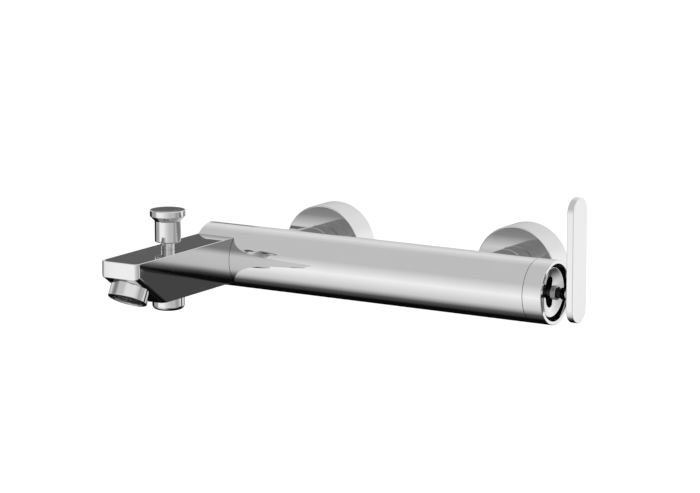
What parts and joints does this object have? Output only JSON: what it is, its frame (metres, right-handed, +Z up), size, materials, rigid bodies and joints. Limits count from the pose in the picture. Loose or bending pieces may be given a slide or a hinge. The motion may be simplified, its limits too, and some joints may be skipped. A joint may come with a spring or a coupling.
{
  "type": "wall mounted bath faucet",
  "caption": "Wall mounted bath mixer: round bar with a box spout, tilted aerator, pull-up shower diverter, flat side lever and deep round escutcheons.",
  "frame": {"origin": "on the wall plane, midway between the two inlets, level with the bar's axis", "axes": "+X along the bar towards the lever, +Y into the wall, +Z up; -Y faces the bather"},
  "size_m": [0.2823, 0.2202, 0.0924],
  "materials": {
    "chrome": "polished chrome plate on brass",
    "brass": "machined brass",
    "steel": "bright stainless steel",
    "dark_steel": "dark burnished steel",
    "rubber": "black EPDM",
    "ceramic": "lapped alumina ceramic",
    "white_plastic": "moulded white acetal",
    "black_plastic": "moulded black glass-filled plastic",
    "copper": "drawn copper pipe"
  },
  "bodies": {
    "mixer_body": {"body_tube": "chrome", "end_ring": "chrome", "end_plug": "chrome", "inlet_nipple_left": "chrome", "inlet_nipple_right": "chrome", "union_nut_left": "chrome", "union_nut_right": "chrome", "cover_sleeve_left": "chrome", "cover_sleeve_right": "chrome", "escutcheon_left": "chrome", "escutcheon_right": "chrome", "eccentric_union_left": "brass", "eccentric_union_right": "brass", "union_gasket_left": "rubber", "union_gasket_right": "rubber", "cartridge_housing": "brass", "hot_elbow": "brass", "hot_pipe": "copper", "mix_pipe": "copper", "diverter_manifold": "brass", "spout_body": "chrome", "spigot_seal": "rubber", "aerator_housing": "chrome", "aerator_insert": "black_plastic", "aerator_seal": "rubber", "diverter_sleeve": "brass", "diverter_gland": "brass", "stem_seal": "rubber", "seal_retainer": "steel", "diverter_spring": "steel", "shower_outlet": "chrome", "check_valve_body": "white_plastic", "check_valve_guide": "white_plastic", "check_spring": "steel", "cartridge_base_seal": "rubber", "cartridge_base": "black_plastic", "fixed_disc": "ceramic", "cartridge_case": "white_plastic", "cartridge_nut": "brass"},
    "temperature_cartridge": {"cartridge_rotor": "black_plastic", "pivot_pin": "steel", "slotted_cap": "chrome"},
    "lever": {"spindle": "dark_steel", "spindle_collar": "steel", "lever_hub": "chrome", "lever_bar": "chrome"},
    "disc_slider": {"moving_disc": "ceramic", "disc_carrier": "black_plastic"},
    "diverter": {"diverter_knob": "chrome", "diverter_stem": "chrome", "diverter_piston": "brass", "piston_washer_lower": "rubber", "piston_washer_upper": "rubber", "piston_nut": "steel"},
    "check_poppet": {"check_poppet": "white_plastic"}
  },
  "joints": [
    {"name": "temperature", "type": "hinge", "parent": "mixer_body", "child": "temperature_cartridge", "pos_m": [0.104, -0.0725, 0], "axis": [1, 0, 0], "range_deg": [-50, 50]},
    {"name": "flow", "type": "hinge", "parent": "temperature_cartridge", "child": "lever", "pos_m": [0.104, -0.0725, 0], "axis": [0, 1, 0], "range_deg": [-12.5, 12.5]},
    {"name": "disc_slide", "type": "slide", "parent": "temperature_cartridge", "child": "disc_slider", "axis": [0, 0, 1], "range_m": [-0.002, 0.002]},
    {"name": "diverter_lift", "type": "slide", "parent": "mixer_body", "child": "diverter", "axis": [0, 0, 1], "range_m": [0, 0.009], "stiffness_N_per_m": 150, "springref_m": -0.02, "deforming": ["diverter_spring"]},
    {"name": "check_valve", "type": "slide", "parent": "mixer_body", "child": "check_poppet", "axis": [0, 0, -1], "range_m": [0, 0.002], "stiffness_N_per_m": 20, "springref_m": -0.004, "deforming": ["check_spring"]}
  ],
  "couplings": [
    {"joint": "disc_slide", "follows": "flow", "m_per_rad": 0.009}
  ]
}
